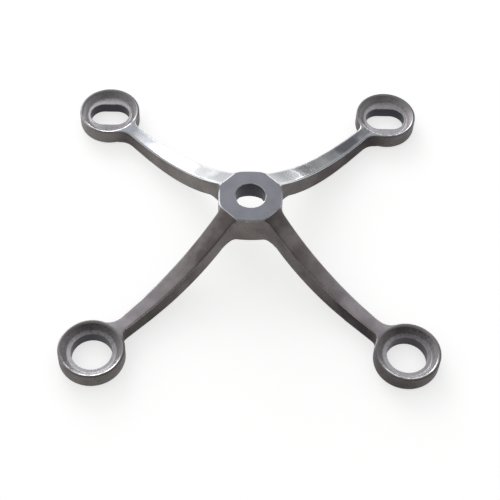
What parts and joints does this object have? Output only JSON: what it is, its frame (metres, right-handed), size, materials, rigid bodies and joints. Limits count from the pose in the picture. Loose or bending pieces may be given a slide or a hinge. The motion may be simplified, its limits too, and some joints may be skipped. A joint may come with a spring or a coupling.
{
  "type": "glass spider fitting",
  "caption": "One-piece cast X-shaped fitting: arched arms run from a raised, bored hub down to cups with round or slotted holes that hold glass panels at their corners.",
  "frame": {"origin": "on the axis of the hub bore, in the plane of the cups' undersides, which is the middle of the bottom of the bounding box", "axes": "+Z along the hub bore, towards the hub's top face; +Y towards the pair of cups with slots; X along the slots"},
  "size_m": [0.2668, 0.2668, 0.0467],
  "materials": {
    "cast_stainless": "satin"
  },
  "bodies": {
    "root": {"spider_casting": "cast_stainless"}
  },
  "joints": []
}
